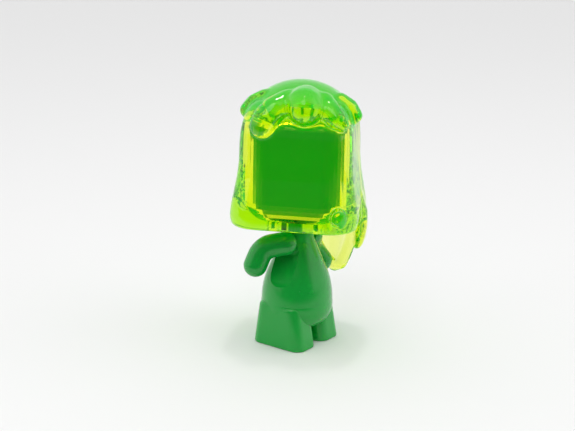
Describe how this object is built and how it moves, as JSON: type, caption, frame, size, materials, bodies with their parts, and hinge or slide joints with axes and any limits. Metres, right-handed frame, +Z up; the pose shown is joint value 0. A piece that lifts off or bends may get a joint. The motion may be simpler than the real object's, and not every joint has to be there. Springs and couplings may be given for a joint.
{
  "type": "vinyl art toy",
  "caption": "Small standing art toy with a pear-shaped body, stub arms and a blank head inside a clear moulded hair shell with hanging locks.",
  "frame": {"origin": "on the ground under the neck axis, midway between the feet", "axes": "+Z up, the chest faces -Y, the figure's own left side is +X"},
  "size_m": [0.041, 0.0422, 0.0756],
  "materials": {
    "green_vinyl": "opaque green moulded vinyl, satin gloss",
    "head_vinyl": "opaque green moulded vinyl, glossy",
    "clear_hair": "clear fluorescent yellow-green moulded plastic, polished",
    "joint_plastic": "hidden green joint pins"
  },
  "bodies": {
    "body": {"torso_front": "green_vinyl", "torso_back": "green_vinyl", "leg_left": "green_vinyl", "leg_right": "green_vinyl"},
    "head": {"neck_post": "joint_plastic", "head_front": "head_vinyl", "head_back": "head_vinyl", "hair_front": "clear_hair", "hair_back": "clear_hair", "hair_crown": "clear_hair"},
    "left_arm": {"arm_left": "green_vinyl", "shoulder_pin_left": "joint_plastic"},
    "right_arm": {"arm_right": "green_vinyl", "shoulder_pin_right": "joint_plastic"}
  },
  "joints": [
    {"name": "neck_swivel", "type": "hinge", "parent": "body", "child": "head", "pos_m": [0, 0, 0.034], "axis": [0, 0, 1], "range_deg": [-6, 66]},
    {"name": "left_shoulder", "type": "hinge", "parent": "body", "child": "left_arm", "pos_m": [0.0062, 0, 0.0295], "axis": [1, 0, 0], "range_deg": [-17, 18]},
    {"name": "right_shoulder", "type": "hinge", "parent": "body", "child": "right_arm", "pos_m": [-0.0062, 0, 0.0295], "axis": [1, 0, 0], "range_deg": [-148, 30]}
  ]
}
